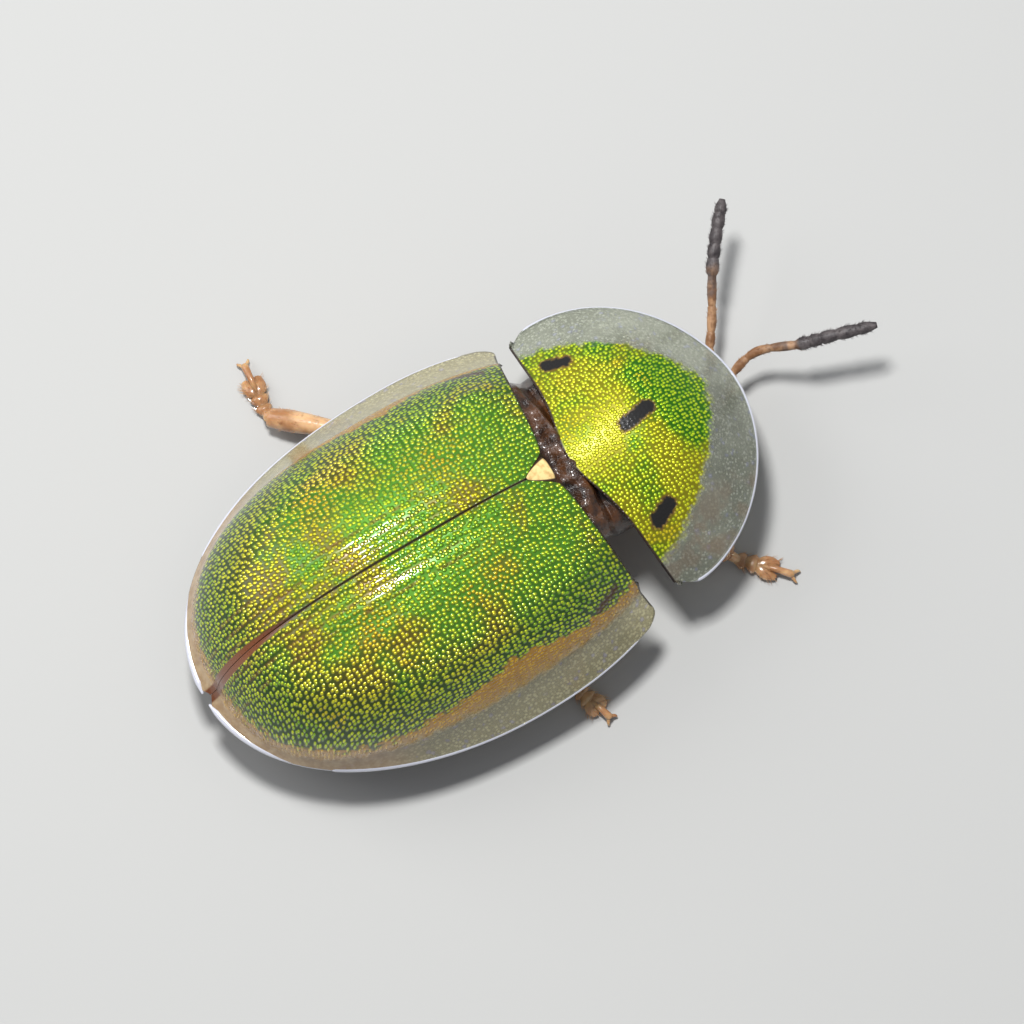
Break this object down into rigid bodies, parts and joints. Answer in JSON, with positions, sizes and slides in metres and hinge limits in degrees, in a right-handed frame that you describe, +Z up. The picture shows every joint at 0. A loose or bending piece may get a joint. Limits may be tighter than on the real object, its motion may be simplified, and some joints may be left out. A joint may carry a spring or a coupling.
{
  "type": "tortoise beetle",
  "caption": "Still, life-size tortoise beetle: domed green-gold wing cases with a clear brim, wide shield over the head, standing on six legs with both feelers out.",
  "frame": {"origin": "middle of the model's bounding box on the floor that the feet stand on", "axes": "+Z up, the beetle faces -Y, its left side is at +X"},
  "size_m": [0.0084, 0.0128, 0.0037],
  "materials": {
    "wing_case": "metallic green to gold chitin, finely beaded, with a clear pale brim and a brown seam",
    "shield": "metallic yellow-green chitin, finely beaded, three black spots, clear grey margin",
    "scutellum": "cream chitin",
    "dark_chitin": "dark brown glossy chitin",
    "underside": "brown chitin, satin",
    "limb": "amber brown chitin with short golden hairs",
    "feeler": "orange brown at the base, dark grey brown velvety club",
    "eye": "black, finely faceted"
  },
  "bodies": {
    "root": {"elytron_left": "wing_case", "elytron_right": "wing_case", "scutellum": "scutellum", "pronotum": "shield", "mesonotum": "dark_chitin", "thorax": "underside", "abdomen": "underside", "prothorax": "underside", "head": "underside", "mouthparts": "limb", "eye_left": "eye", "eye_right": "eye", "antenna_left": "feeler", "antenna_right": "feeler", "femur_front_left": "limb", "tibia_front_left": "limb", "tarsus_front_left": "limb", "femur_front_right": "limb", "tibia_front_right": "limb", "tarsus_front_right": "limb", "femur_middle_left": "limb", "tibia_middle_left": "limb", "tarsus_middle_left": "limb", "femur_middle_right": "limb", "tibia_middle_right": "limb", "tarsus_middle_right": "limb", "femur_hind_left": "limb", "tibia_hind_left": "limb", "tarsus_hind_left": "limb", "femur_hind_right": "limb", "tibia_hind_right": "limb", "tarsus_hind_right": "limb"}
  },
  "joints": []
}
